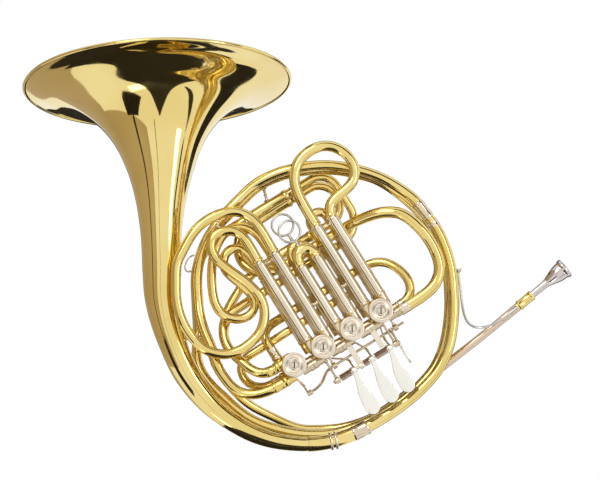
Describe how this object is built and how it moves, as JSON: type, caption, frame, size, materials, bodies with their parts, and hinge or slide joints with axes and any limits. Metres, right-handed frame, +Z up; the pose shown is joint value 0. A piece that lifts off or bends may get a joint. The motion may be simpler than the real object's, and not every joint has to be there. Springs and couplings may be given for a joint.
{
  "type": "double french horn",
  "caption": "Coiled brass horn with a wide flared bell, a row of rotary valves with levers, pull-out valve and tuning slides, and a cup mouthpiece.",
  "frame": {"origin": "middle of the bounding box on the surface the horn lies on", "axes": "+X about along the valve row, from the thumb-operated valve towards the mouthpiece; +Y from the finger levers towards the bell's mouth; +Z up"},
  "size_m": [0.4442, 0.5374, 0.3099],
  "materials": {
    "lacquered_brass": "clear-lacquered polished brass",
    "bell_brass": "clear-lacquered spun and polished brass",
    "nickel_silver": "polished nickel silver",
    "silver_plate": "silver plate",
    "spring_steel": "blued spring steel"
  },
  "bodies": {
    "horn_body": {"bell": "bell_brass", "bell_rim_wire": "bell_brass", "bell_tail": "bell_brass", "bell_tail_clamp": "nickel_silver", "bell_tail_sleeve": "nickel_silver", "big_loop_tube": "lacquered_brass", "crossing_tube_long": "lacquered_brass", "crossing_tube_short": "lacquered_brass", "f_feed_tube": "lacquered_brass", "f_tuning_sleeve_lower": "nickel_silver", "f_tuning_sleeve_upper": "nickel_silver", "first_branch_ferrule": "nickel_silver", "first_branch_lower": "lacquered_brass", "first_branch_upper": "lacquered_brass", "leadpipe": "lacquered_brass", "lever_hinge_rod": "nickel_silver", "lever_spring_1": "spring_steel", "lever_spring_2": "spring_steel", "lever_spring_3": "spring_steel", "main_feed_tube": "lacquered_brass", "main_tuning_sleeve_lower": "nickel_silver", "main_tuning_sleeve_upper": "nickel_silver", "mouthpiece_receiver": "nickel_silver", "ring_second_tube": "lacquered_brass", "s_brace": "silver_plate", "sleeve_brace_2_1": "nickel_silver", "sleeve_brace_3_2": "nickel_silver", "valve_1_cap": "nickel_silver", "valve_1_casing": "lacquered_brass", "valve_2_cap": "nickel_silver", "valve_2_casing": "lacquered_brass", "valve_3_cap": "nickel_silver", "valve_3_casing": "lacquered_brass", "valve_4_cap": "nickel_silver", "valve_4_casing": "lacquered_brass"},
    "finger_lever_1": {"finger_lever_1": "lacquered_brass"},
    "link_rod_1": {"link_rod_1": "nickel_silver"},
    "valve_1_rotor": {"valve_1_rotor": "nickel_silver"},
    "finger_lever_2": {"finger_lever_2": "lacquered_brass"},
    "link_rod_2": {"link_rod_2": "nickel_silver"},
    "valve_2_rotor": {"valve_2_rotor": "nickel_silver"},
    "finger_lever_3": {"finger_lever_3": "lacquered_brass"},
    "link_rod_3": {"link_rod_3": "nickel_silver"},
    "valve_3_rotor": {"valve_3_rotor": "nickel_silver"},
    "thumb_lever": {"thumb_lever": "lacquered_brass"},
    "link_rod_4": {"link_rod_4": "nickel_silver"},
    "valve_4_rotor": {"valve_4_rotor": "nickel_silver"},
    "f_slide_1": {"f_slide_1": "lacquered_brass"},
    "f_slide_2": {"f_slide_2": "lacquered_brass"},
    "f_slide_3": {"f_slide_3": "lacquered_brass"},
    "b_flat_slide_1": {"b_flat_slide_1": "lacquered_brass"},
    "b_flat_slide_2": {"b_flat_slide_2": "lacquered_brass"},
    "b_flat_slide_3": {"b_flat_slide_3": "lacquered_brass"},
    "main_tuning_slide": {"main_tuning_slide": "lacquered_brass"},
    "f_tuning_slide": {"f_tuning_slide": "lacquered_brass"},
    "mouthpiece": {"mouthpiece": "silver_plate"}
  },
  "joints": [
    {"name": "finger_lever_1_hinge", "type": "hinge", "parent": "horn_body", "child": "finger_lever_1", "pos_m": [-0.00143, -0.21144, 0.07012], "axis": [0.999, -0.0405, -0.0175], "range_deg": [0, 16], "stiffness_Nm_per_rad": 0.08, "springref_deg": -20.05},
    {"name": "link_rod_1_pivot", "type": "hinge", "parent": "finger_lever_1", "child": "link_rod_1", "pos_m": [0.00216, -0.19808, 0.03886], "axis": [0.999, -0.0405, -0.0175], "range_deg": [-16.1, 0]},
    {"name": "valve_1_turn", "type": "hinge", "parent": "horn_body", "child": "valve_1_rotor", "pos_m": [0.01319, -0.16597, 0.06801], "axis": [0, -0.3973, 0.9177], "range_deg": [-90.1, 0]},
    {"name": "finger_lever_2_hinge", "type": "hinge", "parent": "horn_body", "child": "finger_lever_2", "pos_m": [-0.02551, -0.21047, 0.07054], "axis": [0.999, -0.0405, -0.0175], "range_deg": [0, 16], "stiffness_Nm_per_rad": 0.08, "springref_deg": -20.05},
    {"name": "link_rod_2_pivot", "type": "hinge", "parent": "finger_lever_2", "child": "link_rod_2", "pos_m": [-0.02191, -0.19711, 0.03928], "axis": [0.999, -0.0405, -0.0175], "range_deg": [-16.1, 0]},
    {"name": "valve_2_turn", "type": "hinge", "parent": "horn_body", "child": "valve_2_rotor", "pos_m": [-0.02548, -0.1644, 0.06869], "axis": [0, -0.3973, 0.9177], "range_deg": [-90.1, 0]},
    {"name": "finger_lever_3_hinge", "type": "hinge", "parent": "horn_body", "child": "finger_lever_3", "pos_m": [-0.04919, -0.20951, 0.07096], "axis": [0.999, -0.0405, -0.0175], "range_deg": [0, 16], "stiffness_Nm_per_rad": 0.08, "springref_deg": -20.05},
    {"name": "link_rod_3_pivot", "type": "hinge", "parent": "finger_lever_3", "child": "link_rod_3", "pos_m": [-0.04559, -0.19615, 0.03969], "axis": [0.999, -0.0405, -0.0175], "range_deg": [-16.1, 0]},
    {"name": "valve_3_turn", "type": "hinge", "parent": "horn_body", "child": "valve_3_rotor", "pos_m": [-0.06414, -0.16284, 0.06937], "axis": [0, -0.3973, 0.9177], "range_deg": [-90.1, 0]},
    {"name": "thumb_lever_hinge", "type": "hinge", "parent": "horn_body", "child": "thumb_lever", "pos_m": [0.01194, -0.19179, 0.06228], "axis": [0.999, -0.0405, -0.0175], "range_deg": [0, 22.5], "stiffness_Nm_per_rad": 0.06, "springref_deg": -22.92},
    {"name": "link_rod_4_pivot", "type": "hinge", "parent": "thumb_lever", "child": "link_rod_4", "pos_m": [-0.1047, -0.18981, 0.03917], "axis": [0.999, -0.0405, -0.0175], "range_deg": [-22.6, 0]},
    {"name": "valve_4_turn", "type": "hinge", "parent": "horn_body", "child": "valve_4_rotor", "pos_m": [-0.1028, -0.16127, 0.07005], "axis": [0, -0.3973, 0.9177], "range_deg": [-90.1, 0]},
    {"name": "f_slide_1_pull", "type": "slide", "parent": "horn_body", "child": "f_slide_1", "axis": [0.0441, 0.9168, 0.3969], "range_m": [0, 0.05]},
    {"name": "f_slide_2_pull", "type": "slide", "parent": "horn_body", "child": "f_slide_2", "axis": [0.0441, 0.9168, 0.3969], "range_m": [0, 0.035]},
    {"name": "f_slide_3_pull", "type": "slide", "parent": "horn_body", "child": "f_slide_3", "axis": [0.0441, 0.9168, 0.3969], "range_m": [0, 0.05]},
    {"name": "b_flat_slide_1_pull", "type": "slide", "parent": "horn_body", "child": "b_flat_slide_1", "axis": [0.0441, 0.9168, 0.3969], "range_m": [0, 0.035]},
    {"name": "b_flat_slide_2_pull", "type": "slide", "parent": "horn_body", "child": "b_flat_slide_2", "axis": [0.0441, 0.9168, 0.3969], "range_m": [0, 0.025]},
    {"name": "b_flat_slide_3_pull", "type": "slide", "parent": "horn_body", "child": "b_flat_slide_3", "axis": [0.0441, 0.9168, 0.3969], "range_m": [0, 0.035]},
    {"name": "main_tuning_slide_pull", "type": "slide", "parent": "horn_body", "child": "main_tuning_slide", "axis": [0.999, -0.0405, -0.0175], "range_m": [0, 0.03]},
    {"name": "f_tuning_slide_pull", "type": "slide", "parent": "horn_body", "child": "f_tuning_slide", "axis": [0.999, -0.0405, -0.0175], "range_m": [0, 0.03]},
    {"name": "mouthpiece_pull", "type": "slide", "parent": "horn_body", "child": "mouthpiece", "axis": [0.9962, 0.0796, 0.0344], "range_m": [0, 0.019]}
  ],
  "couplings": [
    {"joint": "link_rod_1_pivot", "follows": "finger_lever_1_hinge", "ratio": -1},
    {"joint": "valve_1_turn", "follows": "finger_lever_1_hinge", "ratio": -5.625},
    {"joint": "link_rod_2_pivot", "follows": "finger_lever_2_hinge", "ratio": -1},
    {"joint": "valve_2_turn", "follows": "finger_lever_2_hinge", "ratio": -5.625},
    {"joint": "link_rod_3_pivot", "follows": "finger_lever_3_hinge", "ratio": -1},
    {"joint": "valve_3_turn", "follows": "finger_lever_3_hinge", "ratio": -5.625},
    {"joint": "link_rod_4_pivot", "follows": "thumb_lever_hinge", "ratio": -1},
    {"joint": "valve_4_turn", "follows": "thumb_lever_hinge", "ratio": -4}
  ]
}
